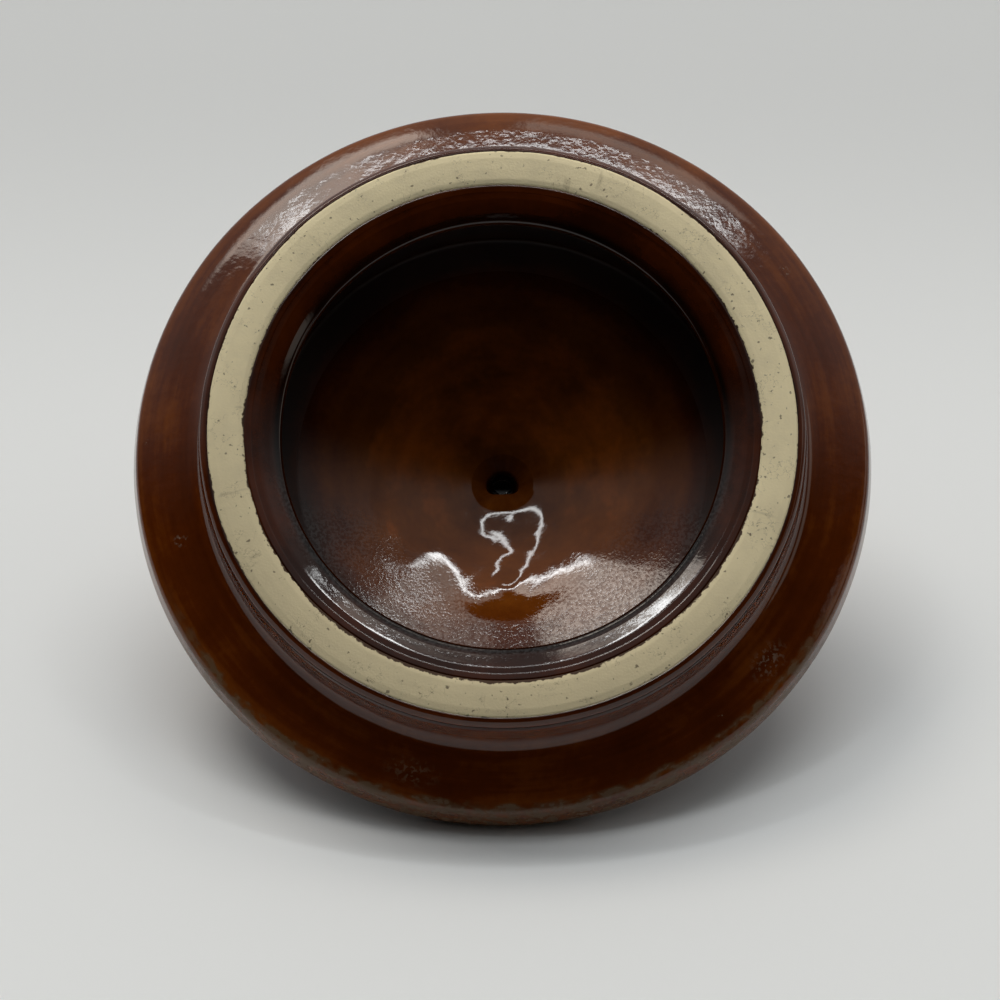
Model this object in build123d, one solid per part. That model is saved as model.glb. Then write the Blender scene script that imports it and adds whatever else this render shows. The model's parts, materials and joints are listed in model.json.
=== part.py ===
"""Stoneware pot lid: a domed cover with a locating ring, a luted knob and two coats of glaze.

Lengths are millimetres. The lid is drawn as a half section, with r outward from its axis and
h along the axis from the end of the locating ring (h = 0) to the top of the knob. It is then
laid upside down, resting on its rim and on the shoulder of its knob, with the open side up
and facing -Y. The origin is the bottom centre of the lid as it lies, and +Z is up.
"""
from build123d import *
import os
from math import asin, atan2, cos, degrees, hypot, pi, radians, sin, tan

# ---- Locating ring, which drops into the mouth of a pot ----
ring_radius = 50.5           # glazed outer wall
ring_height = 11.5           # from the bare end of the ring to the seat under the flange
ring_corner_width = 1.2      # rolled corner of the ring, then its bead, then the land
ring_corner_height = 1.8
bead_width = 0.9
bead_height = 0.5
land_width = 5.7             # bare clay land on the end of the ring
land_crown = 0.3             # the two edges of the land fall away by this much
land_edge_width = 1.0

# ---- Glazed ledge between the land and the well ----
step_width = 1.2             # from the land down to the ledge
step_depth = 1.5
ledge_width = 4.9
ledge_drop = 0.4             # the ledge falls by this much towards the well

# ---- Well, the hollow of the dome, behind the rolled lip of its mouth ----
lip_lean = 0.6               # the back of the lip lies this far out from the mouth
lip_drop = 3.6
wall_undercut = 3.8          # the wall spreads by this much from the lip to the floor
wall_drop = 15.4
floor_middle_radius = 20.0   # where the two slopes of the floor meet
floor_outer_slope = 25.7     # degrees, from the corner to there
floor_inner_slope = 19.9     # degrees, from there to the crater
crater_radius = 5.6          # dimple drawn into the clay under the knob
pit_radius = 2.7
pit_drop = 5.4

# ---- Flange and rim ----
seat_width = 6.5             # flat seat that rests on the mouth of a pot
rim_overhang = 6.5           # from the seat out to the widest circle
rim_slope_height = 4.1       # the overhang slopes away from the seat by this much
rim_edge_height = 5.6        # height of the blunt edge

# ---- Dome ----
dome_wall = 7.5              # thickness between the floor of the well and the dome
dome_skirt_width = 8.0       # from the shoulder of the dome down to the top of the flange
flange_rise = 2.2            # the flange's top rises this much from the edge to the dome

# ---- Knob ----
neck_radius = 11.6
neck_foot_rise = 4.2         # from the top of the dome to the foot of the neck
neck_height = 5.0
knob_overhang = 5.2          # from the neck out to the widest circle
knob_underside_height = 4.0
knob_side_height = 6.6
knob_side_lean = 0.6
knob_crown_radius = 7.0
knob_crown_height = 1.8
joint_rise = 2.2             # the luted joint, above the foot of the neck
slip_thickness = 0.7

# ---- Glaze ----
glaze_thickness = 0.6
rest_flat_depth = 0.35       # the glaze is rubbed flat where rim and knob stand on a table

# ---- Roundings of the corners ----
pit_round = 1.6
crater_round = 1.3
floor_middle_round = 60.0
floor_corner_round = 8.0
lip_back_round = 3.0
mouth_round = 2.0
step_round = 0.8
land_round = 2.0
bead_round = 0.9
ring_corner_round = 1.1
root_round = 3.2
seat_round = 6.0
rim_lower_round = 3.4
rim_upper_round = 2.6
dome_skirt_round = 10.0
dome_shoulder_round = 14.0
dome_top_round = 40.0
neck_foot_round = 4.0
neck_top_round = 5.0
knob_lower_round = 3.2
knob_shoulder_round = 4.4
knob_crown_round = 26.0

# ---- Radii and heights that follow ----
bead_radius = ring_radius - ring_corner_width
land_outer_radius = bead_radius - bead_width
land_inner_radius = land_outer_radius - land_width
step_radius = land_inner_radius - step_width
mouth_radius = step_radius - ledge_width
mouth_depth = step_depth + ledge_drop
lip_back_radius = mouth_radius + lip_lean
lip_back_depth = mouth_depth + lip_drop
corner_radius = lip_back_radius + wall_undercut
corner_depth = lip_back_depth + wall_drop
floor_outer_rise = (corner_radius - floor_middle_radius) * tan(radians(floor_outer_slope))
floor_inner_rise = (floor_middle_radius - crater_radius) * tan(radians(floor_inner_slope))
floor_middle_depth = corner_depth + floor_outer_rise
crater_depth = floor_middle_depth + floor_inner_rise
pit_depth = crater_depth + pit_drop
seat_outer_radius = ring_radius + seat_width
rim_radius = seat_outer_radius + rim_overhang
rim_lower_height = ring_height + rim_slope_height
rim_upper_height = rim_lower_height + rim_edge_height

wall_out = dome_wall * sin(radians(floor_outer_slope))
wall_up = dome_wall * cos(radians(floor_outer_slope))
dome_shoulder_radius = corner_radius + wall_out
dome_shoulder_height = corner_depth + wall_up
dome_top_radius = floor_middle_radius + wall_out
dome_top_height = floor_middle_depth + wall_up
dome_skirt_radius = dome_shoulder_radius + dome_skirt_width
dome_skirt_height = rim_upper_height + flange_rise

neck_foot_height = dome_top_height + neck_foot_rise
joint_height = neck_foot_height + joint_rise
neck_top_height = neck_foot_height + neck_height
knob_radius = neck_radius + knob_overhang
knob_lower_height = neck_top_height + knob_underside_height
knob_shoulder_height = knob_lower_height + knob_side_height
knob_height = knob_shoulder_height + knob_crown_height

# Each corner is (r, h, rounding).
WELL_CORNERS = [
    (0, pit_depth, 0),
    (pit_radius, pit_depth, pit_round),
    (crater_radius, crater_depth, crater_round),
    (floor_middle_radius, floor_middle_depth, floor_middle_round),
    (corner_radius, corner_depth, floor_corner_round),
    (lip_back_radius, lip_back_depth, lip_back_round),
    (mouth_radius, mouth_depth, mouth_round),
    (step_radius, step_depth, step_round),
]
LAND_CORNERS = [
    (land_inner_radius, land_crown, 0),
    (land_inner_radius + land_edge_width, 0, land_round),
    (land_outer_radius - land_edge_width, 0, land_round),
    (land_outer_radius, land_crown, 0),
]
RING_CORNERS = [
    (bead_radius, bead_height, bead_round),
    (ring_radius, ring_corner_height, ring_corner_round),
    (ring_radius, ring_height, root_round),
    (seat_outer_radius, ring_height, seat_round),
]
RIM_CORNER = (rim_radius, rim_upper_height, rim_upper_round)
DOME_CORNERS = [
    (rim_radius, rim_lower_height, rim_lower_round),
    RIM_CORNER,
    (dome_skirt_radius, dome_skirt_height, dome_skirt_round),
    (dome_shoulder_radius, dome_shoulder_height, dome_shoulder_round),
    (dome_top_radius, dome_top_height, dome_top_round),
]
KNOB_CORNER = (knob_radius - knob_side_lean, knob_shoulder_height, knob_shoulder_round)
KNOB_CORNERS = [
    (neck_radius, neck_foot_height, neck_foot_round),
    (neck_radius, neck_top_height, neck_top_round),
    (knob_radius, knob_lower_height, knob_lower_round),
    KNOB_CORNER,
    (knob_crown_radius, knob_height, knob_crown_round),
    (0, knob_height, 0),
]
LID_CORNERS = WELL_CORNERS + LAND_CORNERS + RING_CORNERS + DOME_CORNERS + KNOB_CORNERS
ROUNDING_SHARE = 0.48        # the most of a straight run that one rounding may use up


def run_and_turn(index):
    """Shorter run beside a corner, and half the angle that the outline turns there."""
    (r0, h0, _), (r1, h1, _), (r2, h2, _) = LID_CORNERS[index - 1:index + 2]
    turn = atan2(h2 - h1, r2 - r1) - atan2(h1 - h0, r1 - r0)
    turn = abs((turn + pi) % (2 * pi) - pi)
    return min(hypot(r1 - r0, h1 - h0), hypot(r2 - r1, h2 - h1)), turn / 2


def rounding(index):
    """Rounding of a corner, no larger than its two runs allow."""
    run, half_turn = run_and_turn(index)
    wanted = LID_CORNERS[index][2]
    return min(wanted, ROUNDING_SHARE * run / tan(half_turn)) if half_turn else wanted


def rounding_center(corner):
    """Centre (r, h) and radius of the arc that rounds one corner."""
    index = LID_CORNERS.index(corner)
    (r0, h0, _), (r1, h1, _), (r2, h2, _) = LID_CORNERS[index - 1:index + 2]
    back, ahead = hypot(r0 - r1, h0 - h1), hypot(r2 - r1, h2 - h1)
    inward = ((r0 - r1) / back + (r2 - r1) / ahead, (h0 - h1) / back + (h2 - h1) / ahead)
    reach = rounding(index) / cos(run_and_turn(index)[1]) / hypot(*inward)
    return r1 + inward[0] * reach, h1 + inward[1] * reach, rounding(index)


def resting_pose():
    """Tilt in radians, and height of the end of the ring, with rim and knob on their flats."""
    rim_r, rim_h, rim_arc = rounding_center(RIM_CORNER)
    knob_r, knob_h, knob_arc = rounding_center(KNOB_CORNER)
    apart = hypot(rim_r - knob_r, knob_h - rim_h)
    tilt = atan2(knob_h - rim_h, rim_r - knob_r) + asin((knob_arc - rim_arc) / apart)
    return tilt, rim_r * sin(tilt) + rim_h * cos(tilt) + rim_arc - rest_flat_depth


def lid_section():
    """Whole glazed section of the lid, on both sides of its axis."""
    points = [(r, h) for r, h, _ in LID_CORNERS]
    radii = [rounding(i) for i in range(1, len(LID_CORNERS) - 1)]
    outline = FilletPolyline(*points, radius=radii)
    half = make_face(outline + Line(points[-1], points[0]))
    return half + mirror(half, about=Plane.YZ)


def band(inner, outer, low, high):
    """Rectangle of the half section between two radii and two heights."""
    return Pos((inner + outer) / 2, (low + high) / 2) * Rectangle(outer - inner, high - low)


def clay_section(section):
    """Half section of the clay: all but the glaze, which leaves the land of the ring bare."""
    clay = offset(section, amount=-glaze_thickness)
    land = section & band(land_inner_radius, land_outer_radius, 0, ring_height / 2)
    return (clay + land) & band(0, rim_radius, 0, knob_height)


def turned(section):
    """Solid of revolution of a half section about the lid's axis."""
    return revolve(Plane.XZ * section, Axis.Z, 360)


def cover(clay):
    """Dome, flange and locating ring, jiggered in one piece of stoneware."""
    return turned(clay & band(0, rim_radius, 0, joint_height))


def luting_slip(clay):
    """Layer of slip that joins the knob to the cover."""
    return turned(clay & band(0, rim_radius, joint_height, joint_height + slip_thickness))


def knob(clay):
    """Solid stoneware knob with a waisted neck."""
    return turned(clay & band(0, rim_radius, joint_height + slip_thickness, knob_height))


def glaze_coats(section, clay):
    """The two coats of glaze, inside and outside, that the bare land keeps apart."""
    half = section & band(0, rim_radius, 0, knob_height)
    films = (half - clay).faces().sort_by(lambda film: film.bounding_box().max.X)
    return turned(films[0]), turned(films[-1])


def rubbed_flat(glaze):
    """Outer glaze with the two small flats that it stands on, which lie on the floor."""
    reach = 2 * (rim_radius + knob_height)
    return glaze & Pos(0, 0, reach / 2) * Box(reach, reach, reach)


def as_it_lies(pieces):
    """The pieces upside down on their floor, with the origin at the bottom centre."""
    tilt, ring_end_height = resting_pose()
    laid = {name: Rot(180 + degrees(tilt), 0, 0) * piece for name, piece in pieces.items()}
    box = Compound(list(laid.values())).bounding_box()
    place = Pos(0, -box.center().Y, ring_end_height)
    placed = {name: place * piece for name, piece in laid.items()}
    placed["outer_glaze"] = rubbed_flat(placed["outer_glaze"])
    return placed


def lid_pieces():
    """Every piece of the lid by name, as it lies."""
    section = lid_section()
    clay = clay_section(section)
    well_glaze, outer_glaze = glaze_coats(section, clay)
    return as_it_lies({
        "cover": cover(clay),
        "luting_slip": luting_slip(clay),
        "knob": knob(clay),
        "well_glaze": well_glaze,
        "outer_glaze": outer_glaze,
    })


os.makedirs("parts", exist_ok=True)
for name, piece in lid_pieces().items():
    export_step(piece, f"parts/{name}.step")
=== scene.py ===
"""Looks of a brown-glazed stoneware pot lid that lies upside down on a pale table.

Each piece is drawn as the outline of its section, spun about the lid's axis, dented as wet clay
is by fingers, and laid down where the frame says that the lid lies. Outlines are in millimetres:
a radius from the lid's axis, and a height from the bare end of the locating ring up to the knob.
"""
from __future__ import annotations

import json
import logging
from dataclasses import dataclass, field
from enum import Enum
from math import atan2, ceil, cos, degrees, pi, radians, sin, tan

import bmesh
import bpy
from mathutils import Matrix, Vector
from mathutils.kdtree import KDTree

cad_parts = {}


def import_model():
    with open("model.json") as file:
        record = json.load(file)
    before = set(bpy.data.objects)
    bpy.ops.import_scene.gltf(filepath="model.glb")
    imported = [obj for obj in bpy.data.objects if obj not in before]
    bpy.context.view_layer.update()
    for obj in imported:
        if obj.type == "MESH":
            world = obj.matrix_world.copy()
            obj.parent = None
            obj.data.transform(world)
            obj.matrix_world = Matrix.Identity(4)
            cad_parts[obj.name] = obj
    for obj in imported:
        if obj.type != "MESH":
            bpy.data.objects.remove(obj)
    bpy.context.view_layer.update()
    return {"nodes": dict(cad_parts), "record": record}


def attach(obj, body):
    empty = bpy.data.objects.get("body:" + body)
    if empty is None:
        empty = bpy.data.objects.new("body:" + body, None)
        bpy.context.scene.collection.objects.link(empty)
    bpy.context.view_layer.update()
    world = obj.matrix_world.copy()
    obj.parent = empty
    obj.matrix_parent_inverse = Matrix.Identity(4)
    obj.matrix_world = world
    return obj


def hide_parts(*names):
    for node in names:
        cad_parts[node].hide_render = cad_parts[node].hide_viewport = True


MM = 0.001
LOG = logging.getLogger("lid")

TINY = 1e-6                   # a length that counts as none
STRAIGHT = radians(0.5)       # a corner that turns less than this isn't rounded
LEAST_ARC_STEPS = 3
WELD = 0.002 * MM             # points closer than this become one
MIXED_COLOURS = (6, 7)        # inputs of a Mix node that mixes colours
MIX_RESULT = 2                # its output
BUMP_STRENGTH = 0.35
SENSOR = 36.0                 # width of the camera's sensor, in millimetres


class Slot(Enum):
    """Material slots of the pieces drawn here."""

    STONEWARE = "stoneware"
    BROWN_GLAZE = "brown_glaze"


# ---------------------------------------------------------------- where the lid lies


@dataclass(frozen=True)
class LidPlace:
    """Where the lid lies: its tilt, and the centre of the bare end of its ring."""

    tilt: float
    ring_end: Vector

    @classmethod
    def from_record(cls, record: dict) -> LidPlace:
        """Reads the place from the mounts on the lid's ring.

        Args:
            record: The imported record.

        Returns:
            The place of the lid, in metres and radians.
        """
        mounts = {mount["name"]: mount for mount in record["mounts"]}
        ring, end = mounts["locating_ring"], mounts["ring_end"]
        axis = Vector(ring["axis"]).normalized()
        middle = Vector(ring["pos_m"])
        to_end = (Vector(end["pos_m"]) - middle).dot(axis)
        return cls(atan2(-axis.y, axis.z), middle + axis * to_end)

    def matrix(self) -> Matrix:
        """Matrix from the lid's own axes to the frame."""
        return Matrix.Translation(self.ring_end) @ Matrix.Rotation(pi + self.tilt, 4, "X")

    def lay_down(self, piece: bpy.types.Object) -> None:
        """Moves a piece drawn about the lid's axis to its place, and applies the move.

        Args:
            piece: The piece.
        """
        only_select(piece)
        piece.matrix_world = self.matrix()
        bpy.ops.object.transform_apply(location=True, rotation=True, scale=True)


# ---------------------------------------------------------------- outlines


@dataclass(frozen=True)
class Corner:
    """A corner of an outline; pool is how deep the glaze lies there, from 0 to 1."""

    radius: float
    height: float
    rounding: float = 0.0
    pool: float = 0.5


@dataclass(frozen=True)
class Station:
    """A point of a finished outline, with how deep the glaze lies there."""

    radius: float
    height: float
    pool: float = 0.5


def corner_arc(before: Vector, at: Vector, after: Vector, rounding: float,
               spacing: float) -> list[Vector]:
    """Rounds one corner.

    Args:
        before: The corner before it.
        at: The corner.
        after: The corner after it.
        rounding: Radius of the arc.
        spacing: Distance between points.

    Returns:
        Points along the arc, or the corner itself where it isn't rounded.
    """
    back, ahead = (before - at).normalized(), (after - at).normalized()
    turn = pi - back.angle(ahead)
    if rounding == 0 or turn < STRAIGHT:
        return [at]
    start = at + back * rounding * tan(turn / 2)
    centre = at + (back + ahead).normalized() * rounding / cos(turn / 2)
    way = 1 if back.x * ahead.y - back.y * ahead.x < 0 else -1
    steps = max(LEAST_ARC_STEPS, ceil(turn * rounding / spacing))
    turns = [Matrix.Rotation(way * turn * step / steps, 2) for step in range(steps + 1)]
    return [centre + matrix @ (start - centre) for matrix in turns]


def outline(corners: list[Corner], spacing: float) -> list[Station]:
    """Draws a line through corners with their roundings.

    Args:
        corners: The corners, in order.
        spacing: Largest distance between points.

    Returns:
        The points of the line, with the pool of glaze eased from corner to corner.
    """
    places = [Vector((corner.radius, corner.height)) for corner in corners]
    points, lengths, marks = [places[0]], [0.0], [0.0]
    for index in range(1, len(corners)):
        last = index == len(corners) - 1
        arc = [places[index]] if last else corner_arc(
            places[index - 1], places[index], places[index + 1],
            corners[index].rounding, spacing)
        run = arc[0] - points[-1]
        pieces = max(1, ceil(run.length / spacing))
        start = points[-1]
        steps = [start + run * step / pieces for step in range(1, pieces + 1)] + arc[1:]
        for point in steps:
            lengths.append(lengths[-1] + (point - points[-1]).length)
            points.append(point)
        marks.append(lengths[-1 - (len(arc) - 1) // 2])
    return [Station(point.x, point.y, eased(length, marks, corners))
            for point, length in zip(points, lengths)]


def clamped(value: float) -> float:
    """The value, kept between 0 and 1."""
    return min(max(value, 0.0), 1.0)


def eased(length: float, marks: list[float], corners: list[Corner]) -> float:
    """Pool of glaze at a length along a line, eased between the corners on either side.

    Args:
        length: The length along the line.
        marks: The length at each corner.
        corners: The corners.

    Returns:
        The pool, from 0 to 1.
    """
    for index in range(1, len(marks)):
        if length <= marks[index] or index == len(marks) - 1:
            run = max(marks[index] - marks[index - 1], TINY)
            share = clamped((length - marks[index - 1]) / run)
            share = share * share * (3 - 2 * share)
            return corners[index - 1].pool * (1 - share) + corners[index].pool * share
    return corners[-1].pool


def sunk(stations: list[Station], depth: float, every: int) -> list[Station]:
    """The same line, sunk into the clay on its left.

    Args:
        stations: The line.
        depth: How far it is sunk, in millimetres.
        every: Keeps one point in this many, and always the two ends.

    Returns:
        The sunk line.
    """
    result = []
    last = len(stations) - 1
    for index, here in enumerate(stations):
        if index % every and index != last:
            continue
        before, after = stations[max(index - 1, 0)], stations[min(index + 1, last)]
        along = Vector((after.radius - before.radius, after.height - before.height)).normalized()
        radius = max(here.radius - along.y * depth, 0.0) if here.radius > TINY else 0.0
        result.append(Station(radius, here.height + along.x * depth, here.pool))
    return result


# ---------------------------------------------------------------- modelling by hand


def only_select(piece: bpy.types.Object) -> None:
    """Leaves one object selected and active.

    Args:
        piece: The object.
    """
    bpy.ops.object.select_all(action="DESELECT")
    piece.select_set(True)
    bpy.context.view_layer.objects.active = piece


def turned(name: str, stations: list[Station], steps: int) -> bpy.types.Object:
    """Spins a line, whose two ends lie on the lid's axis, into a closed piece.

    Args:
        name: Name of the piece.
        stations: The line.
        steps: Number of steps in the full turn.

    Returns:
        The piece, about the lid's axis, with its pool of glaze as a point attribute.
    """
    bpy.ops.object.select_all(action="DESELECT")
    first = Vector((stations[0].radius, 0, stations[0].height)) * MM
    bpy.ops.mesh.primitive_circle_add(vertices=3, radius=MM)
    piece = bpy.context.object
    piece.name = piece.data.name = name
    bpy.ops.object.mode_set(mode="EDIT")
    bpy.ops.mesh.merge(type="CENTER")
    bpy.ops.transform.translate(value=first)
    for here, after in zip(stations, stations[1:]):
        move = Vector((after.radius - here.radius, 0, after.height - here.height)) * MM
        bpy.ops.mesh.extrude_region_move(TRANSFORM_OT_translate={"value": move})
    bpy.ops.object.mode_set(mode="OBJECT")
    mark_pool(piece, stations)
    bpy.ops.object.mode_set(mode="EDIT")
    bpy.ops.mesh.select_all(action="SELECT")
    bpy.ops.mesh.spin(steps=steps, angle=2 * pi, center=(0, 0, 0), axis=(0, 0, 1))
    bpy.ops.mesh.select_all(action="SELECT")
    bpy.ops.mesh.remove_doubles(threshold=WELD)
    bpy.ops.mesh.normals_make_consistent(inside=False)
    bpy.ops.object.mode_set(mode="OBJECT")
    bpy.ops.object.shade_smooth()
    return piece


def mark_pool(piece: bpy.types.Object, stations: list[Station]) -> None:
    """Writes the pool of glaze to the points of a line that isn't spun yet.

    Args:
        piece: The line as an object.
        stations: The line.
    """
    pool = piece.data.attributes.new("pool", "FLOAT", "POINT")
    for vertex in piece.data.vertices:
        radius, height = vertex.co.x / MM, vertex.co.z / MM
        nearest = min(stations, key=lambda s: abs(s.radius - radius) + abs(s.height - height))
        pool.data[vertex.index].value = nearest.pool


def rub_flat(piece: bpy.types.Object) -> None:
    """Cuts a piece flat where it rests on the table.

    Args:
        piece: The piece, in its place.
    """
    only_select(piece)
    bpy.ops.object.mode_set(mode="EDIT")
    bpy.ops.mesh.select_all(action="SELECT")
    bpy.ops.mesh.bisect(plane_co=(0, 0, 0), plane_no=(0, 0, -1), use_fill=True,
                        clear_outer=True, threshold=TINY)
    bpy.ops.object.mode_set(mode="OBJECT")


@dataclass(frozen=True)
class Dent:
    """A place where a finger pressed the wet clay.

    The bearing is in degrees, from the right round to the front. A depth above 0 is towards
    the knob, and slide is how far the clay was pushed to the front. Sizes are in millimetres.
    """

    bearing: float
    radius: float
    reach: float
    depth: float
    slide: float = 0.0

    def press(self) -> None:
        """Presses the dent into the piece in edit mode, round its selected point."""
        bpy.ops.transform.translate(
            value=(0, self.slide * MM, self.depth * MM), use_proportional_edit=True,
            proportional_edit_falloff="SMOOTH", proportional_size=self.reach * MM)


def press_all(piece: bpy.types.Object, dents: tuple[Dent, ...], base: float,
              fall: float = 0.0) -> None:
    """Presses dents into a piece that is still about the lid's axis.

    Args:
        piece: The piece.
        dents: The dents.
        base: Height of the pressed surface at the axis, in millimetres.
        fall: How far it falls for each millimetre of radius.
    """
    points = KDTree(len(piece.data.vertices))
    for vertex in piece.data.vertices:
        points.insert(vertex.co, vertex.index)
    points.balance()
    only_select(piece)
    bpy.ops.object.mode_set(mode="EDIT")
    bpy.ops.mesh.select_mode(type="VERT")
    for dent in dents:
        turn = radians(dent.bearing)
        spot = Vector((cos(turn) * dent.radius, sin(turn) * dent.radius,
                       base - fall * dent.radius)) * MM
        bpy.ops.mesh.select_all(action="DESELECT")
        shape = bmesh.from_edit_mesh(piece.data)
        shape.verts.ensure_lookup_table()
        shape.verts[points.find(spot)[1]].select_set(True)
        bmesh.update_edit_mesh(piece.data)
        dent.press()
    bpy.ops.object.mode_set(mode="OBJECT")


def dents_of(reach: float, places: tuple[tuple[float, float, float], ...]) -> tuple[Dent, ...]:
    """Dents of one reach, from the bearing, radius and depth of each."""
    return tuple(Dent(bearing, radius, reach, depth) for bearing, radius, depth in places)


# The depths come from a least-squares fit of the outline that the lamps mirror in the floor.
FLOOR_DENTS = dents_of(6.0, (
    (64, 5.5, -0.936), (131, 6.7, -0.302), (41, 7.7, -0.105), (147, 9.3, 0.063),
    (55, 10.2, -0.087), (29, 10.5, -0.184), (133, 11.5, -0.14), (156, 12.3, -0.13),
    (64, 13.1, 0.018), (22, 13.6, -0.134), (34, 15.1, -0.123), (69, 16.3, 0.184),
    (150, 16.8, -0.222), (17, 16.8, -0.227), (28, 18.1, -0.163), (93, 18.6, 0.064),
    (164, 18.7, -0.212), (141, 18.8, -0.104), (73, 19.5, 0.053), (36, 19.9, -0.046),
    (14, 20.0, -0.132), (113, 20.2, 0.093), (64, 20.8, 0.189), (23, 21.1, -0.231),
    (147, 21.5, -0.151), (121, 21.7, -0.145), (93, 22.0, 0.38), (84, 22.1, 0.499),
    (101, 22.4, 0.166), (31, 22.7, -0.086), (75, 22.8, 0.139), (12, 23.3, -0.128),
    (140, 23.6, -0.127), (20, 24.3, -0.147), (27, 25.7, -0.135), (124, 26.4, -0.089),
)) + dents_of(4.0, (
    (111, 5.6, -0.208), (128, 6.8, 0.147), (51, 6.9, 0.221), (89, 7.4, -0.082),
    (105, 7.7, -0.093), (89, 9.7, -0.237), (77, 9.9, -0.099), (66, 10.7, -0.154),
    (79, 12.1, -0.16), (55, 14.9, -0.093), (82, 16.4, 0.148), (90, 18.4, 0.157),
    (83, 18.6, 0.036), (77, 19.0, 0.055), (101, 21.1, -0.153),
)) + dents_of(3.2, (
    (84.8, 11.1, 0.021), (71.7, 11.1, 0.013), (66.7, 12.4, 0.068), (78.9, 12.5, 0.056),
    (88.8, 13.5, -0.088), (83.5, 15.0, 0.01), (104.8, 15.4, 0.046), (66.1, 16.4, 0.02),
    (92.6, 17.3, -0.012), (79.1, 18.2, 0.144), (88.1, 18.8, 0.15), (97.6, 19.0, -0.016),
    (84.2, 20.1, 0.17), (93.1, 20.5, 0.032),
)) + (Dent(90, 1.2, 5.0, 0.0, -1.6),)


@dataclass(frozen=True)
class Unevenness:
    """How far thrown and fired clay strays from a true round, in millimetres.

    The floor of the well keeps only the dents that are pressed in it: the unevenness comes in
    between the radii of calm. Between the radii of flange it falls to flange_share of the whole.
    Each wave is a scale and a depth. Each axis is warped by a cloud of its own scale.
    """

    waves: tuple = ((19.0, 0.30), (6.5, 0.10))
    axes: tuple = ("X", "Y", "Z")
    axis_step: float = 0.13
    calm: tuple = (32.0, 38.0)
    flange: tuple = (50.0, 54.0)
    flange_share: float = 0.4
    group: str = "warped"

    def share(self, radius: float) -> float:
        """How much of the unevenness a radius has.

        Args:
            radius: The radius, in millimetres.

        Returns:
            The share, from 0 to 1.
        """
        inner, outer = (clamped((radius - low) / (high - low))
                        for low, high in (self.calm, self.flange))
        return inner - outer * (1 - self.flange_share)

    def warp(self, piece: bpy.types.Object) -> None:
        """Warps a piece; the same clouds warp every piece.

        Args:
            piece: The piece, still about the lid's axis.
        """
        group = piece.vertex_groups.new(name=self.group)
        for vertex in piece.data.vertices:
            group.add([vertex.index], self.share(vertex.co.xy.length / MM), "REPLACE")
        only_select(piece)
        for scale, depth in self.waves:
            for index, axis in enumerate(self.axes):
                cloud = bpy.data.textures.new("clay", "CLOUDS")
                cloud.noise_scale = scale * (1 + self.axis_step * index) * MM
                cloud.noise_depth = 1
                bpy.ops.object.modifier_add(type="DISPLACE")
                modifier = piece.modifiers[-1]
                modifier.texture, modifier.direction = cloud, axis
                modifier.strength, modifier.mid_level = depth * MM, 0.5
                modifier.vertex_group = self.group
                bpy.ops.object.modifier_apply(modifier=modifier.name)


# ---------------------------------------------------------------- shader maths


class Value:
    """An output socket of a shader node, used as a number in expressions."""

    def __init__(self, graph: Graph, socket: bpy.types.NodeSocket) -> None:
        """Wraps a socket of a graph."""
        self.graph, self.socket = graph, socket

    def _join(self, operation: str, first: Value | float, second: Value | float) -> Value:
        """Adds one Math node."""
        return self.graph.value("ShaderNodeMath", {"operation": operation}, {0: first, 1: second})

    def __add__(self, other: Value | float) -> Value:
        """Sum."""
        return self._join("ADD", self, other)

    def __sub__(self, other: Value | float) -> Value:
        """Difference."""
        return self._join("SUBTRACT", self, other)

    def __rsub__(self, other: Value | float) -> Value:
        """Difference from a number."""
        return self._join("SUBTRACT", other, self)

    def __mul__(self, other: Value | float) -> Value:
        """Product."""
        return self._join("MULTIPLY", self, other)

    def __truediv__(self, other: Value | float) -> Value:
        """Quotient."""
        return self._join("DIVIDE", self, other)

    def __pow__(self, other: Value | float) -> Value:
        """Power."""
        return self._join("POWER", self, other)

    __radd__ = __add__
    __rmul__ = __mul__

    def at_most(self, other: Value | float) -> Value:
        """The lesser of two values."""
        return self._join("MINIMUM", self, other)

    def rise(self, low: float, high: float) -> Value:
        """Eases from 0 at low to 1 at high."""
        return self.graph.value("ShaderNodeMapRange", {"interpolation_type": "SMOOTHSTEP"},
                                {"Value": self, "From Min": low, "From Max": high})

    def hump(self, centre: float, half_width: float) -> Value:
        """1 at centre, easing to 0 at half a width on either side."""
        away = self._join("ABSOLUTE", self - centre, 0.0)
        return 1 - away.rise(0.0, half_width)


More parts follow.
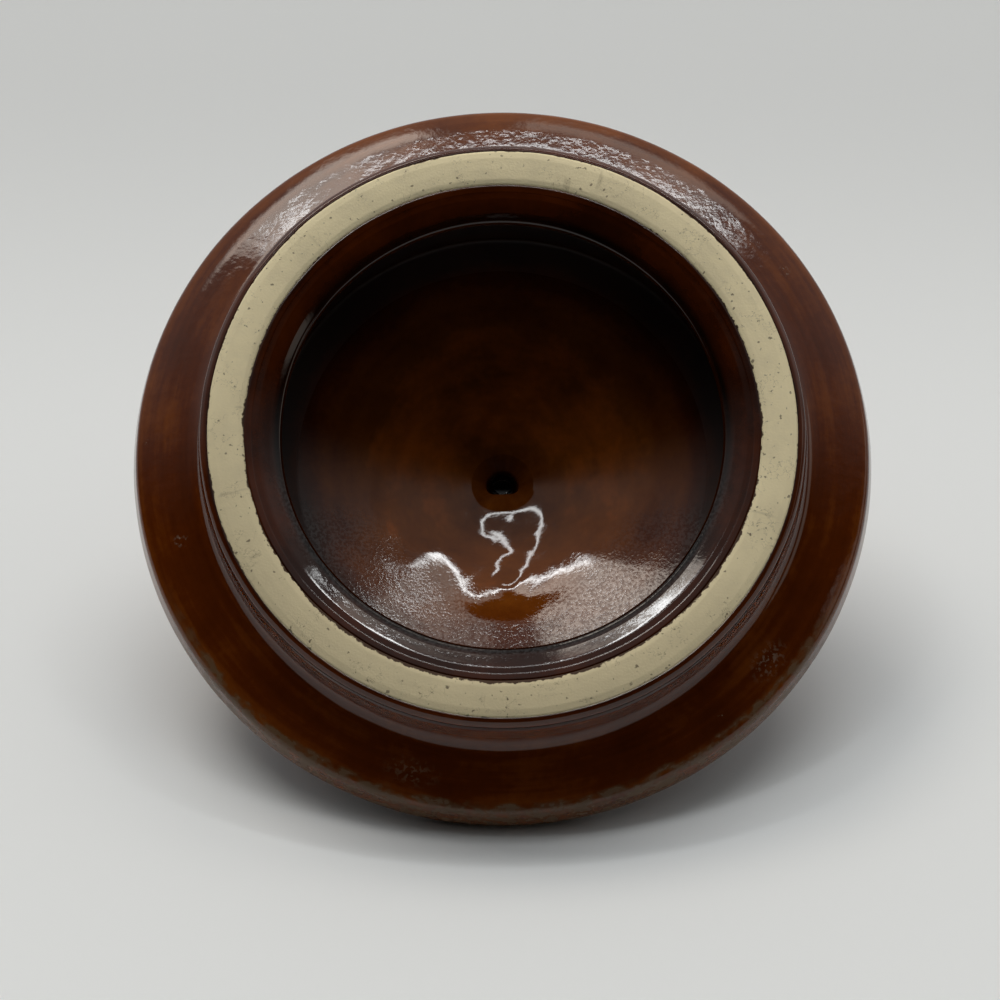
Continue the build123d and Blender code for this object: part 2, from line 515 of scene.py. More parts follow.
class Graph:
    """The node tree of one material or world."""

    def __init__(self, tree: bpy.types.NodeTree) -> None:
        """Empties a tree and starts drawing in it."""
        tree.nodes.clear()
        self.tree = tree

    def node(self, kind: str, settings: dict, inputs: dict) -> bpy.types.Node:
        """Adds a node.

        Args:
            kind: The node's type.
            settings: Its properties, and its ramp's stops under "stops".
            inputs: A Value, a socket or a constant for each input, by name or number.

        Returns:
            The node.
        """
        node = self.tree.nodes.new(kind)
        for key, setting in settings.items():
            if key == "stops":
                self._set_stops(node.color_ramp, setting)
            else:
                setattr(node, key, setting)
        for key, given in inputs.items():
            source = given.socket if isinstance(given, Value) else given
            if isinstance(source, bpy.types.NodeSocket):
                self.tree.links.new(source, node.inputs[key])
            else:
                node.inputs[key].default_value = source
        return node

    @staticmethod
    def _set_stops(ramp: bpy.types.ColorRamp, stops: list[tuple]) -> None:
        """Sets the stops of a ramp.

        Args:
            ramp: The ramp.
            stops: A position and a colour for each stop.
        """
        while len(ramp.elements) < len(stops):
            ramp.elements.new(1.0)
        for element, (position, colour) in zip(ramp.elements, stops):
            element.position = position
            element.color = (*colour, 1.0)

    def value(self, kind: str, settings: dict, inputs: dict, output: int | str = 0) -> Value:
        """Adds a node and returns one of its outputs as a number."""
        return Value(self, self.node(kind, settings, inputs).outputs[output])

    def noise(self, where: bpy.types.NodeSocket, per_mm: float, detail: float = 2.0,
              roughness: float = 0.5) -> Value:
        """Noise with about this many features to the millimetre, from 0 to 1."""
        return self.value("ShaderNodeTexNoise", {}, {
            "Vector": where, "Scale": per_mm, "Detail": detail, "Roughness": roughness})

    def mix(self, share: Value | float, first: object, second: object) -> bpy.types.NodeSocket:
        """Mixes two colours.

        Args:
            share: How much of the second.
            first: A colour or a socket.
            second: A colour or a socket.

        Returns:
            The mixed colour.
        """
        mixer = self.node("ShaderNodeMix", {"data_type": "RGBA"}, {0: share})
        for index, given in zip(MIXED_COLOURS, (first, second)):
            if isinstance(given, bpy.types.NodeSocket):
                self.tree.links.new(given, mixer.inputs[index])
            else:
                mixer.inputs[index].default_value = (*given, 1.0)
        return mixer.outputs[MIX_RESULT]

    def axes(self, kind: str) -> list[Value]:
        """Adds texture coordinates.

        Args:
            kind: Their kind, such as Object.

        Returns:
            The three of them.
        """
        coordinates = self.node("ShaderNodeTexCoord", {}, {})
        parts = self.node("ShaderNodeSeparateXYZ", {}, {0: coordinates.outputs[kind]})
        return [Value(self, output) for output in parts.outputs]

    def bump(self, height: Value, distance: float) -> bpy.types.NodeSocket:
        """The normal, bumped by a height of this many millimetres."""
        return self.node("ShaderNodeBump", {}, {
            "Strength": BUMP_STRENGTH, "Distance": distance * MM, "Height": height}).outputs[0]

    def show(self, inputs: dict) -> None:
        """Ends a material with a shader that has these inputs."""
        shader = self.node("ShaderNodeBsdfPrincipled", {}, inputs)
        self.node("ShaderNodeOutputMaterial", {}, {0: shader.outputs[0]})


def new_material(name: str) -> tuple[bpy.types.Material, Graph]:
    """Starts a material.

    Args:
        name: Its name.

    Returns:
        The material and its empty graph.
    """
    material = bpy.data.materials.new(name)
    material.use_nodes = True
    return material, Graph(material.node_tree)


@dataclass(frozen=True)
class Pattern:
    """Patches of noise: features to the millimetre, and the noise where they start and end."""

    per_mm: float
    edges: tuple
    detail: float = 2.0
    roughness: float = 0.5

    def drawn(self, graph: Graph, where: bpy.types.NodeSocket) -> Value:
        """Draws the patches: 0 below the edges, and 1 above them."""
        noise = graph.noise(where, self.per_mm, self.detail, self.roughness)
        return noise.rise(*self.edges)


@dataclass(frozen=True)
class LidPoint:
    """Where a shaded point lies on the lid, about the lid's own axis."""

    where: bpy.types.NodeSocket
    radius: Value
    height: Value
    across: Value
    front: Value

    @classmethod
    def of(cls, graph: Graph, place: LidPlace) -> LidPoint:
        """Finds the point from Object coordinates.

        Args:
            graph: The graph to draw in.
            place: Where the lid lies.

        Returns:
            The point, with its sizes in millimetres.
        """
        back = place.matrix().inverted()
        coordinates = graph.node("ShaderNodeTexCoord", {}, {})
        mapping = graph.node("ShaderNodeMapping", {"vector_type": "POINT"}, {
            "Vector": coordinates.outputs["Object"], "Scale": (1 / MM, 1 / MM, 1 / MM),
            "Location": back.to_translation() / MM, "Rotation": back.to_euler()})
        parts = graph.node("ShaderNodeSeparateXYZ", {}, {0: mapping.outputs[0]})
        x, y, z = (Value(graph, output) for output in parts.outputs)
        return cls(mapping.outputs[0], (x * x + y * y) ** 0.5, z, x, y)

    def spot(self, angle: float, radius: float, reach: float, stretch: float = 1.0) -> Value:
        """A soft round mark on the lid.

        Args:
            angle: Its bearing in degrees, from the right round to the front.
            radius: Its distance from the axis, in millimetres.
            reach: Its radius, in millimetres.
            stretch: How much longer it is round the lid than across.

        Returns:
            1 at its middle, easing to 0 at its edge.
        """
        bearing = radians(angle)
        out_x, out_y = cos(bearing), sin(bearing)
        outward = self.across * out_x + self.front * out_y - radius
        around = (self.front * out_x - self.across * out_y) * (1 / stretch)
        away = (outward * outward + around * around) ** 0.5
        return 1 - away.rise(0.0, reach)

    def round_the_lid(self, graph: Graph, turn: float, out: float) -> bpy.types.NodeSocket:
        """Coordinates for a pattern drawn out round the lid, as by a turning wheel.

        Args:
            graph: The graph to draw in.
            turn: Size of the pattern round the lid; the larger, the busier.
            out: Size of the pattern outwards.

        Returns:
            The coordinates.
        """
        return graph.node("ShaderNodeCombineXYZ", {}, {
            0: self.across / self.radius * turn, 1: self.front / self.radius * turn,
            2: (self.radius + self.height) * out}).outputs[0]


# ---------------------------------------------------------------- finishes


@dataclass(frozen=True)
class Mark:
    """A blemish of the glaze: where it is, its size, and how strongly it is scuffed."""

    bearing: float
    radius: float
    reach: float
    strength: float
    stretch: float = 1.0


@dataclass(frozen=True)
class BrownGlaze:
    """Glossy translucent brown glaze: amber where it is thin, near black where it pools.

    A pair of numbers says where something starts and where it is complete: a radius, a height
    or a distance to the front, in millimetres, or a level of noise.
    """

    black: tuple = (0.0030, 0.0010, 0.0004)
    dark: tuple = (0.024, 0.0046, 0.0007)
    brown: tuple = (0.088, 0.0165, 0.0014)
    orange: tuple = (0.230, 0.060, 0.0060)
    tan: tuple = (0.540, 0.125, 0.0110)
    # tan-grey of the lip's front: partly real wear, partly a painted reflection of the table
    wear_and_reflection: tuple = (0.120, 0.072, 0.036)
    scuff: tuple = (0.230, 0.170, 0.120)
    marks: tuple = (
        Mark(327, 58.3, 1.3, 0.9), Mark(163, 56.5, 1.6, 0.8), Mark(40, 57.6, 3.2, 0.55, 1.6),
        Mark(52, 58.5, 0.7, 0.9), Mark(105, 57.5, 3.0, 0.35, 2.0), Mark(181, 60.6, 0.7, 0.7))
    crumbs: Pattern = Pattern(1.4, (0.50, 0.62), 3.0)

    # roughness and gloss
    refraction: float = 1.5
    specular: float = 0.29
    roughness: float = 0.055
    dull_roughness: float = 0.45
    satin_roughness: float = 0.035
    wall_roughness: float = 0.4
    coat: float = 0.36
    coat_roughness: float = 0.03
    worn_dulls: float = 0.6
    satin_dulls: float = 0.2
    most_dull: float = 0.95

    # where the glaze is coarse, and where it is satin; the wall is that of the well's mouth
    coarse_from: tuple = (17.0, 27.0)
    coarse_to: tuple = (37.0, 40.0)
    coarse_front: tuple = (4.0, 13.0)
    flange: tuple = (53.0, 56.0)
    wall_from: tuple = (35.3, 36.2)
    wall_to: tuple = (44.0, 46.0)
    wall_height: tuple = (3.2, 4.5)

    # depth of the glaze, from 0 to 1
    levels: tuple = (0.0, 0.18, 0.42, 0.68, 0.95)
    cloud_per_mm: float = 0.07
    cloud_depth: float = 0.36
    streaks: tuple = (2.4, 0.55)
    streak_depth: float = 0.26
    mottle_per_mm: float = 0.8
    mottle_depth: float = 0.10
    thin_back: tuple = (-62.0, -30.0)
    back_depth: float = 0.10
    near_floor: tuple = (-8.0, 12.0)
    floor_edge: tuple = (36.0, 38.0)
    floor_depth: float = 0.14

    # the rubbed lip of the rim at the front, coloured partly by real wear and partly by a painted
    # reflection of the table
    scratches: tuple = (26.0, 0.5)
    scratch_reach: float = 2.2
    scratch_edges: tuple = (0.30, 0.62)
    lip: tuple = (60.4, 61.4)
    lip_front: tuple = (22.0, 40.0)
    most_worn: float = 0.9

    # grain and orange peel
    grain_per_mm: float = 1.9
    grain_edges: tuple = (0.40, 0.60)
    grain_gloss: float = 0.6
    grain_height: float = 0.18
    coarse_height: float = 0.80
    peel_per_mm: float = 0.55
    peel_height: float = 0.5
    bump_mm: float = 0.10

    def make(self, place: LidPlace) -> bpy.types.Material:
        """Builds the material.

        Args:
            place: Where the lid lies.

        Returns:
            The material.
        """
        material, graph = new_material("brown_glaze")
        point = LidPoint.of(graph, place)
        wear_and_reflection = self.lip_wear_and_reflection(graph, point)
        scuffed = self.scuffs(graph, point)
        # the lip's front takes a tan-grey that is partly real wear and partly a painted
        # reflection of the table
        colour = graph.mix(wear_and_reflection, self.colour(graph, point), self.wear_and_reflection)
        colour = graph.mix(scuffed, colour, self.scuff)
        dull = (wear_and_reflection * self.worn_dulls + scuffed).at_most(1.0)
        grain = graph.noise(point.where, self.grain_per_mm)
        coarse = (point.radius.rise(*self.coarse_from) * (1 - point.radius.rise(*self.coarse_to))
                  * point.front.rise(*self.coarse_front))
        gloss = (grain.rise(*self.grain_edges) - 0.5) * coarse * self.grain_gloss + self.coat
        satin = point.radius.rise(*self.flange)
        wall = (point.radius.rise(*self.wall_from) * (1 - point.radius.rise(*self.wall_to))
                * point.height.rise(*self.wall_height))
        bare = (dull + satin * self.satin_dulls + wall).at_most(self.most_dull)
        graph.show({
            "Base Color": colour,
            "Roughness": (dull * self.dull_roughness + satin * self.satin_roughness
                          + wall * self.wall_roughness + self.roughness),
            "IOR": self.refraction, "Specular IOR Level": self.specular,
            "Coat Roughness": self.coat_roughness, "Coat Weight": gloss * (1 - bare),
            "Normal": self.surface(graph, point, grain, coarse)})
        return material

    def colour(self, graph: Graph, point: LidPoint) -> bpy.types.NodeSocket:
        """Colours the glaze by how deep it lies.

        Args:
            graph: The graph to draw in.
            point: The point on the lid.

        Returns:
            The colour.
        """
        pool = graph.value("ShaderNodeAttribute", {"attribute_name": "pool"}, {}, "Fac")
        cloud = graph.noise(point.where, self.cloud_per_mm, 3.0)
        streak = graph.noise(point.round_the_lid(graph, *self.streaks), 1.0, 3.0)
        mottle = graph.noise(point.where, self.mottle_per_mm, 3.0)
        depth = (pool + (cloud - 0.5) * self.cloud_depth + (streak - 0.5) * self.streak_depth
                 + (mottle - 0.5) * self.mottle_depth)
        depth = depth + point.front.rise(*self.thin_back) * self.back_depth - self.back_depth
        floor = 1 - point.radius.rise(*self.floor_edge)
        depth = depth + point.front.rise(*self.near_floor) * floor * self.floor_depth
        colours = (self.tan, self.orange, self.brown, self.dark, self.black)
        return graph.node("ShaderNodeValToRGB", {"stops": list(zip(self.levels, colours))},
                          {0: depth}).outputs[0]

    def lip_wear_and_reflection(self, graph: Graph, point: LidPoint) -> Value:
        """Rubs the rim's lip dull at its front, and paints there a tan-grey that is partly real
        wear and partly a painted reflection of the table.

        Args:
            graph: The graph to draw in.
            point: The point on the lid.

        Returns:
            How worn the glaze is, together with the painted reflection of the table.
        """
        scratch = graph.noise(point.round_the_lid(graph, *self.scratches), 1.0, 3.0)
        band = (point.radius + (scratch - 0.5) * self.scratch_reach).rise(*self.lip)
        return (band * point.front.rise(*self.lip_front) * scratch.rise(*self.scratch_edges)
                * self.most_worn)

    def scuffs(self, graph: Graph, point: LidPoint) -> Value:
        """Marks the glaze with small pits and scuffs.

        Args:
            graph: The graph to draw in.
            point: The point on the lid.

        Returns:
            How scuffed the glaze is.
        """
        crumbs = self.crumbs.drawn(graph, point.where)
        total = 0.0
        for mark in self.marks:
            spot = point.spot(mark.bearing, mark.radius, mark.reach, mark.stretch)
            total = spot * mark.strength + total
        return total * crumbs

    def surface(self, graph: Graph, point: LidPoint, grain: Value,
                coarse: Value) -> bpy.types.NodeSocket:
        """Orange peel and grain of the fired glaze.

        Args:
            graph: The graph to draw in.
            point: The point on the lid.
            grain: The grain.
            coarse: Where the grain is coarse.

        Returns:
            The bumped normal.
        """
        peel = graph.noise(point.where, self.peel_per_mm)
        height = (peel * (point.radius.rise(*self.flange) + self.peel_height)
                  + grain * (coarse * self.coarse_height + self.grain_height))
        return graph.bump(height, self.bump_mm)


@dataclass(frozen=True)
class BareClay:
    """Bare fired clay, cream with fine specks and hairlines, stained brown by the glaze, and
    darkened to the front by painted shade.

    The glaze's edges are radii in millimetres, and its inner edge lies a little to the front.
    """

    # cream is written lighter than the clay's own colour: painted light that makes up for the dim
    # light falling on the ring
    cream: tuple = (0.92, 0.80, 0.510)
    grey: tuple = (0.76, 0.66, 0.43)
    # the colour of the painted shade that darkens the clay to the front
    painted_shade: tuple = (0.50, 0.42, 0.26)
    speck: tuple = (0.10, 0.075, 0.045)
    stain: tuple = (0.050, 0.022, 0.008)
    roughness: float = 0.82
    bump_mm: float = 0.12

    # clouds and grain, and the painted shade that darkens the clay to the front
    clouds: Pattern = Pattern(0.16, (0.38, 0.72), 4.0, 0.6)
    cloud_share: float = 0.6
    grain_per_mm: float = 2.4
    grain_share: float = 0.2
    painted_shade_slant: float = 0.25
    painted_shade_front: tuple = (-8.0, 45.0)
    painted_shade_share: float = 0.55

    # specks, and hairlines and scratches in patches
    specks: Pattern = Pattern(0.95, (0.66, 0.72))
    patches: Pattern = Pattern(0.20, (0.50, 0.60), 1.0)
    turning: tuple = (34.0, 0.12)
    scratches: Pattern = Pattern(1.0, (0.62, 0.74))
    hair_per_mm: float = 0.42
    hair_width: float = 0.008
    speck_share: float = 0.75
    hair_share: float = 0.6
    scratch_share: float = 0.22

    # the glaze's edges
    inner_edge: float = 42.75
    outer_edge: float = 48.75
    lean: float = 0.30 / 43.0
    edge_width: float = 0.16
    jag_per_mm: float = 0.8
    jag_depth: float = 1.5
    outer_jag: float = 0.6
    wander_per_mm: float = 0.12

    def make(self, place: LidPlace) -> bpy.types.Material:
        """Builds the material.

        Args:
            place: Where the lid lies.

        Returns:
            The material.
        """
        material, graph = new_material("bare_clay")
        point = LidPoint.of(graph, place)
        grain = graph.noise(point.where, self.grain_per_mm)
        colour = graph.mix(self.stained(graph, point), self.clay(graph, point, grain), self.stain)
        graph.show({"Base Color": colour, "Roughness": self.roughness,
                    "Normal": graph.bump(grain, self.bump_mm)})
        return material

    def clay(self, graph: Graph, point: LidPoint, grain: Value) -> bpy.types.NodeSocket:
        """Clay with faint clouds, specks, hairlines and scratches, and painted shade that darkens
        it towards the front.

        Args:
            graph: The graph to draw in.
            point: The point on the lid.
            grain: The grain.

        Returns:
            The colour.
        """
        clouds = self.clouds.drawn(graph, point.where)
        clay = graph.mix(clouds * self.cloud_share + grain * self.grain_share,
                         self.cream, self.grey)
        specks = self.specks.drawn(graph, point.where)
        hair = graph.noise(point.where, self.hair_per_mm, 4.0, 0.6).hump(0.5, self.hair_width)
        patches = self.patches.drawn(graph, point.where)
        scratches = self.scratches.drawn(graph, point.round_the_lid(graph, *self.turning))
        marks = (specks * self.speck_share + hair * patches * self.hair_share
                 + scratches * patches * self.scratch_share)
        # painted shade: the clay is darkened towards the front, slanting a little across
        low = (point.front - point.across * self.painted_shade_slant).rise(*self.painted_shade_front)
        clay = graph.mix(low * self.painted_shade_share, clay, self.painted_shade)
        return graph.mix(marks.at_most(1.0), clay, self.speck)

    def stained(self, graph: Graph, point: LidPoint) -> Value:
        """Stains the clay by the jagged edges of the glaze.

        Args:
            graph: The graph to draw in.
            point: The point on the lid.

        Returns:
            How stained the clay is.
        """
        jag = (graph.noise(point.where, self.jag_per_mm, 4.0, 0.7) - 0.5) * self.jag_depth
        wander = graph.noise(point.where, self.wander_per_mm, 1.0) - 0.5
        inner = point.radius - point.front * self.lean + jag + wander
        outer = point.radius + jag * self.outer_jag - wander
        return (1 - inner.rise(self.inner_edge, self.inner_edge + self.edge_width)
                + outer.rise(self.outer_edge, self.outer_edge + self.edge_width)).at_most(1.0)


# ---------------------------------------------------------------- the lid


@dataclass(frozen=True)
class LidOutline:
    """Corners of the lid's section, in millimetres.

    Of the points of a shown line, the hidden side of a coat keeps one in coat_every, and the
    cover one in clay_every. The floor of the well falls by floor_fall for each millimetre from
    the axis. The cover ends at the joint with the knob.
    """

    glaze_thickness: float = 0.6
    joint_height: float = 44.165
    floor_height: float = 38.2
    floor_fall: float = 0.375
    flange_height: float = 12.0
    spacing: float = 0.45
    dome_spacing: float = 1.0
    coat_every: int = 4
    clay_every: int = 3
    spin_steps: int = 320

    def well(self) -> list[Corner]:
        """The glazed inside, from the axis to the bare land."""
        return [
            Corner(0, 41.5, pool=1.0),
            Corner(0.9, 41.42, 1.4, 1.0),
            Corner(2.1, 40.94, 0.7, 0.75),
            Corner(3.0, 38.6, 1.0, 0.26),
            Corner(5.5, 36.34, 0.45, 0.22),
            Corner(12.5, 33.82, pool=0.08),
            Corner(20.5, 30.945, 110.0, 0.10),
            Corner(30.0, 26.42, pool=0.26),
            Corner(41.0, 21.05, 0.8, 0.80),
            Corner(37.2, 5.5, 3.0, 0.95),
            Corner(36.6, 3.1, 0.9, 0.70),
            Corner(37.45, 2.62, 0.25, 0.90),
            Corner(38.35, 1.93, 0.5, 0.68),
            Corner(40.5, 0.93, 0.9, 0.62),
            Corner(41.5, 0.74, 0.5, 0.64),
            Corner(41.65, 0.66, 0.2, 0.60),
            Corner(42.75, 0.42, pool=0.66),
        ]

    def land(self) -> list[Corner]:
        """The bare land on the end of the ring."""
        return [
            Corner(42.75, 0.42),
            Corner(43.7, 0.06, 1.5),
            Corner(45.5, -0.04, 8.0),
            Corner(47.5, 0.02, 1.5),
            Corner(48.8, 0.34),
        ]

    def outside(self) -> list[Corner]:
        """The glazed outside, from the bare land round the rim."""
        return [
            Corner(48.8, 0.34, pool=0.65),
            Corner(49.5, 0.50, 0.5, 0.50),
            Corner(50.3, 1.30, 0.7, 0.45),
            Corner(50.15, 2.3, 0.4, 0.80),
            Corner(50.55, 3.4, 1.2, 0.36),
            Corner(50.5, 10.0, 4.0, 0.42),
            Corner(59.3, 12.90, 16.0, 0.43),
            Corner(62.5, 14.6, 1.9, 0.34),
            Corner(63.5, 18.4, 3.0, 0.30),
            Corner(63.5, 21.2, 2.6, 0.30),
            Corner(58.0, 22.28, pool=0.45),
        ]

    def dome(self) -> list[Corner]:
        """The glazed dome and knob, from where the outside ends to the top of the knob."""
        return [
            Corner(58.0, 22.28, pool=0.45),
            Corner(52.3, 23.4, 10.0, 0.60),
            Corner(44.3, 27.7, 14.0, 0.40),
            Corner(23.252, 37.75, 40.0, 0.45),
            Corner(11.6, 41.95, 4.0, 0.80),
            Corner(11.6, 46.95, 5.0, 0.45),
            Corner(16.8, 50.95, 3.2, 0.30),
            Corner(16.2, 57.55, 4.4, 0.30),
            Corner(7.0, 59.35, 26.0, 0.40),
            Corner(0, 59.35, pool=0.45),
        ]


@dataclass
class Lid:
    """The stoneware cover with its knob, and its two coats of glaze."""

    place: LidPlace
    nodes: dict
    shape: LidOutline = field(default_factory=LidOutline)
    unevenness: Unevenness = field(default_factory=Unevenness)
    floor_dents: tuple = FLOOR_DENTS
    flange_dents: tuple = (
        Dent(238, 58.8, 8.0, 0.13), Dent(120, 56.0, 9.0, 0.10), Dent(60, 58.0, 8.0, -0.08))

    def build(self) -> None:
        """Builds and dresses every piece, and hides the solids that they stand for."""
        glaze = BrownGlaze().make(self.place)
        clay = BareClay().make(self.place)
        shown_well = outline(self.shape.well(), self.shape.spacing)
        shown_outside = (outline(self.shape.outside(), self.shape.spacing)
                         + outline(self.shape.dome(), self.shape.dome_spacing)[1:])
        well = self.well_coat(shown_well)
        outer = self.outer_coat(shown_outside)
        press_all(outer, self.flange_dents, self.shape.flange_height)
        cover = self.clay_cover(shown_well, shown_outside)
        for piece, sunk_by in ((well, 0.0), (cover, self.shape.glaze_thickness)):
            press_all(piece, self.floor_dents, self.shape.floor_height + sunk_by,
                      self.shape.floor_fall)
        self.finish_piece(well, glaze, "well_glaze")
        self.finish_piece(outer, glaze, "outer_glaze")
        rub_flat(outer)
        self.finish_piece(cover, clay, "cover")
        self.dress_hidden(clay)

    def well_coat(self, shown: list[Station]) -> bpy.types.Object:
        """The coat of glaze in the well and on the step."""
        hidden = sunk(shown, self.shape.glaze_thickness, self.shape.coat_every)
        return turned("well_coat", hidden + shown[::-1], self.shape.spin_steps)

    def outer_coat(self, shown: list[Station]) -> bpy.types.Object:
        """The coat of glaze outside the ring."""
        hidden = sunk(shown, self.shape.glaze_thickness, self.shape.coat_every)
        return turned("outer_coat", hidden[::-1] + shown, self.shape.spin_steps)

    def clay_cover(self, well: list[Station], outside: list[Station]) -> bpy.types.Object:
        """Builds the stoneware of the dome, flange and ring, under its glaze.

        Args:
            well: The glazed line of the well.
            outside: The glazed line of the outside.

        Returns:
            The piece.
        """
        shape = self.shape
        inside, outer = (sunk(line, shape.glaze_thickness, shape.clay_every)
                         for line in (well, outside))
        outer = [station for station in outer if station.height < shape.joint_height]
        land = outline(shape.land(), shape.spacing)
        joint = [Station(outer[-1].radius, shape.joint_height), Station(0, shape.joint_height)]
        return turned("clay_cover", inside + land + outer + joint, shape.spin_steps)

    def dress_hidden(self, clay: bpy.types.Material) -> None:
        """Gives the knob's body and the slip under it their clay.

        Args:
            clay: The clay.
        """
        for name in ("knob", "luting_slip"):
            slots = self.nodes[name].data.materials
            slots.clear()
            slots.append(clay)

    def finish_piece(self, piece: bpy.types.Object, material: bpy.types.Material,
                     node: str) -> None:
        """Warps a piece, lays it down, dresses it, hangs it from the root, and hides the solid
        that it stands for.

        Args:
            piece: The piece, still about the lid's axis.
            material: Its finish.
            node: The solid that it stands for.
        """
        self.unevenness.warp(piece)
        self.place.lay_down(piece)
        piece.data.materials.append(material)
        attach(piece, "root")
        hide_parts(node)
        LOG.info("%s: %d faces", piece.name, len(piece.data.polygons))


# ---------------------------------------------------------------- stage


def between(azimuth: Value, left: float, right: float, soft: float) -> Value:
    """1 between two azimuths and 0 beyond them, with a soft edge at each.

    Args:
        azimuth: The azimuth, in radians from straight behind, to the right.
        left: Where the light starts, in degrees.
        right: Where it ends, in degrees.
        soft: Half of the width of each edge, in degrees.

    Returns:
        How much of the light is seen.
    """
    start, end, edge = radians(left), radians(right), radians(soft)
    return azimuth.rise(start - edge, start + edge) - azimuth.rise(end - edge, end + edge)


@dataclass(frozen=True)
class Window:
    """A large soft light in the room, between azimuths and elevations in degrees."""

    left: float
    right: float
    sill: float
    head: float
    strength: float
    soft_side: float = 2.5
    soft_sill: float = 4.0
    soft_head: tuple = (3.0, 2.0)

    def seen_along(self, azimuth: Value, rise: Value) -> Value:
        """Light that comes along a direction.

        Args:
            azimuth: The direction's azimuth, in radians.
            rise: The sine of its elevation.

        Returns:
            The light.
        """
        wide = between(azimuth, self.left, self.right, self.soft_side)
        below, above = self.soft_head
        sines = [sin(radians(angle)) for angle in (
            self.sill - self.soft_sill, self.sill + self.soft_sill,
            self.head - below, self.head + above)]
        return wide * (rise.rise(*sines[:2]) - rise.rise(*sines[2:])) * self.strength


@dataclass(frozen=True)
class Strip:
    """A curved strip of lamps overhead, between two azimuths in degrees.

    It runs at one angle from the top of the room's canopy. Its level is the cosine of that
    angle, and its half width is counted in the same way.
    """

    left: float
    right: float
    level: float
    half_width: float
    strength: float
    soft_end: float = 5.5

    def seen_along(self, azimuth: Value, canopy: Value) -> Value:
        """Light that comes along a direction.

        Args:
            azimuth: The direction's azimuth, in radians.
            canopy: The cosine of its angle from the top of the canopy.

        Returns:
            The light.
        """
        wide = between(azimuth, self.left, self.right, self.soft_end)
        return canopy.hump(self.level, self.half_width) * wide * self.strength


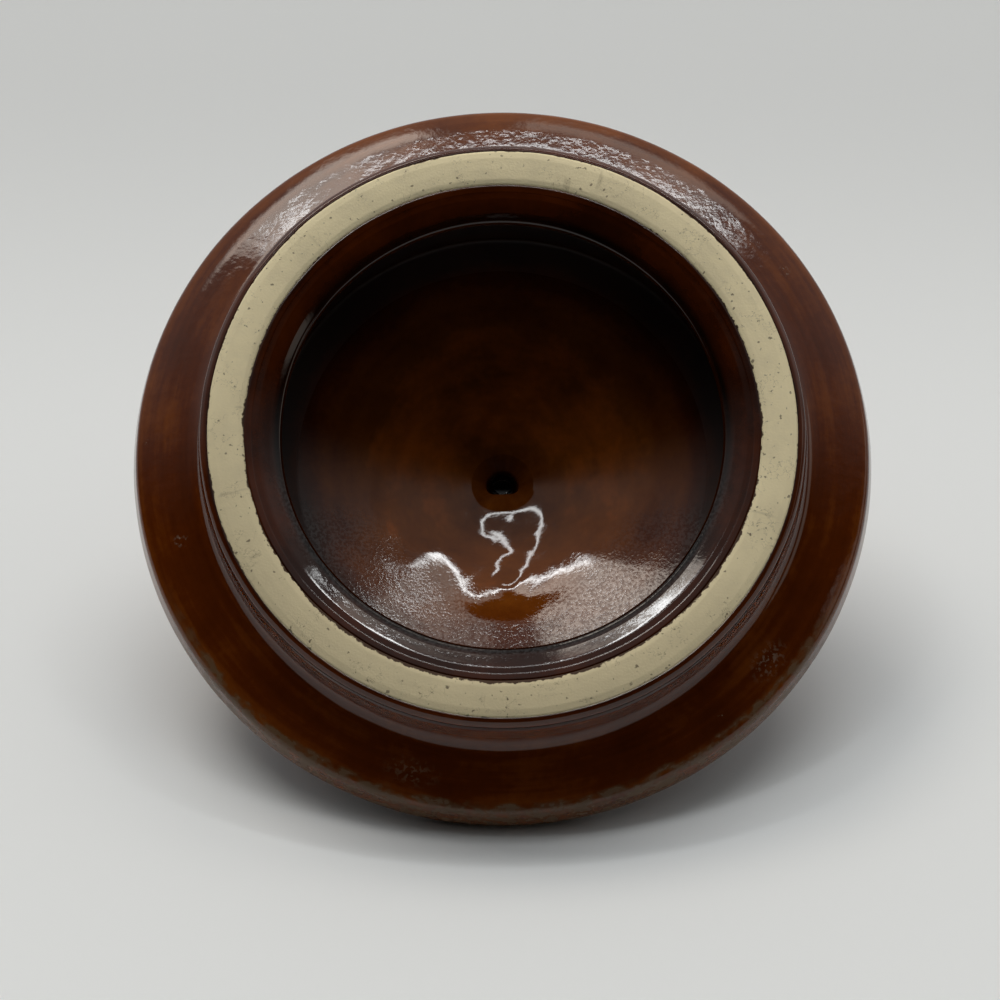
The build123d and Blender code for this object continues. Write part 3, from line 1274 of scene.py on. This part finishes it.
@dataclass(frozen=True)
class Stage:
    """Pale table, a room with soft windows under two strips of lamps, and the camera.

    Directions in the room are y, straight behind, and z, up. Lengths on the table are in metres.
    The camera sees the end of the ring at ring_end_in_view: right, down and away, in millimetres.
    """

    table_colour: tuple = (0.840, 0.862, 0.870)
    window_colour: tuple = (1.0, 0.90, 0.79)
    room_colour: tuple = (0.98, 1.0, 1.0)

    # the table, and how it dims towards the far edge and towards the camera
    table_radius: float = 4.0
    table_sides: int = 96
    table_roughness: float = 0.6
    shade_colour: tuple = (0.06, 0.06, 0.06)
    far_edge: tuple = (0.04, 0.22)
    far_shade: float = 0.20
    near_edge: tuple = (-0.42, -0.20)
    near_shade: float = 0.75

    # the room: light walls under the strips, a dimmer canopy above them, and dark in front
    walls: float = 0.42
    canopy: float = 0.33
    darkest: float = 0.003
    canopy_top: tuple = (-0.378, 0.926)
    canopy_edge: float = 0.012
    back: tuple = (1.31, 1.0)
    back_edge: tuple = (0.12, 0.90)
    strips: tuple = (Strip(-66, 66, 0.735, 0.017, 29.0), Strip(-95, 66, 0.860, 0.018, 15.0))
    windows: tuple = (Window(-70, -16, 50, 65, 5.2), Window(4.5, 56, 50, 65, 1.7),
                      Window(74, 118, 8, 21, 0.7))

    # the camera
    focal_px: float = 2428.0
    image_px: float = 1000.0
    view_off_axis: float = 15.0
    ring_end_in_view: tuple = (0.42, -12.3, 400.5)

    def build(self, place: LidPlace) -> None:
        """Builds the stage round the lid.

        Args:
            place: Where the lid lies.
        """
        self.table()
        self.world()
        self.camera(place)

    def table(self) -> None:
        """A large pale table top."""
        bpy.ops.object.select_all(action="DESELECT")
        bpy.ops.mesh.primitive_circle_add(vertices=self.table_sides, radius=self.table_radius,
                                          fill_type="NGON")
        table = bpy.context.object
        table.name = "table"
        material, graph = new_material("table")
        away = graph.axes("Object")[1]
        shade = (away.rise(*self.far_edge) * self.far_shade
                 + (1 - away.rise(*self.near_edge)) * self.near_shade).at_most(1.0)
        graph.show({"Base Color": graph.mix(shade, self.table_colour, self.shade_colour),
                    "Roughness": self.table_roughness})
        table.data.materials.append(material)

    def world(self) -> None:
        """A room with windows behind the lid and lamps overhead; the camera sees it plain."""
        world = bpy.data.worlds.new("room")
        bpy.context.scene.world = world
        world.use_nodes = True
        graph = Graph(world.node_tree)
        x, y, z = graph.axes("Generated")
        azimuth = graph.value("ShaderNodeMath", {"operation": "ARCTAN2"}, {0: x, 1: y})
        canopy = y * self.canopy_top[0] + z * self.canopy_top[1]
        back = (y * self.back[0] + z * self.back[1]).rise(*self.back_edge)
        lowest = min(strip.level for strip in self.strips)
        below = 1 - canopy.rise(lowest - self.canopy_edge, lowest)
        room = below * self.walls + (1 - below) * self.canopy
        for strip in self.strips:
            room = room + strip.seen_along(azimuth, canopy)
        daylight = 0.0
        for window in self.windows:
            daylight = window.seen_along(azimuth, z) + daylight
        lamplit, daylit, plain = (
            graph.node("ShaderNodeBackground", {}, {
                "Color": (*colour, 1.0), "Strength": light}).outputs[0]
            for colour, light in ((self.room_colour, room * back + self.darkest),
                                  (self.window_colour, daylight * below),
                                  (self.table_colour, 1.0)))
        lit = graph.node("ShaderNodeAddShader", {}, {0: lamplit, 1: daylit})
        path = graph.node("ShaderNodeLightPath", {}, {})
        seen = graph.node("ShaderNodeMixShader", {}, {
            0: path.outputs["Is Camera Ray"], 1: lit.outputs[0], 2: plain})
        graph.node("ShaderNodeOutputWorld", {}, {0: seen.outputs[0]})

    def camera(self, place: LidPlace) -> None:
        """Adds the camera, set by where it sees the end of the ring.

        Args:
            place: Where the lid lies.
        """
        elevation = pi / 2 - place.tilt - radians(self.view_off_axis)
        forward = Vector((0, cos(elevation), -sin(elevation)))
        right = Vector((1, 0, 0))
        down = forward.cross(right)
        x, y, z = (value * MM for value in self.ring_end_in_view)
        bpy.ops.object.camera_add(location=place.ring_end - right * x - down * y - forward * z,
                                  rotation=(pi / 2 - elevation, 0, 0))
        camera = bpy.context.object
        camera.data.sensor_width = SENSOR
        camera.data.lens = SENSOR * self.focal_px / self.image_px
        bpy.context.scene.camera = camera


def main() -> None:
    """Builds the lid and its stage around the frame."""
    logging.basicConfig(level=logging.INFO, format="%(name)s: %(message)s")
    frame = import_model()
    bpy.context.scene.view_settings.view_transform = "Standard"
    place = LidPlace.from_record(frame["record"])
    LOG.info("tilt %.2f degrees", degrees(place.tilt))
    Stage().build(place)
    Lid(place, frame["nodes"]).build()


if __name__ == "__main__":
    main()
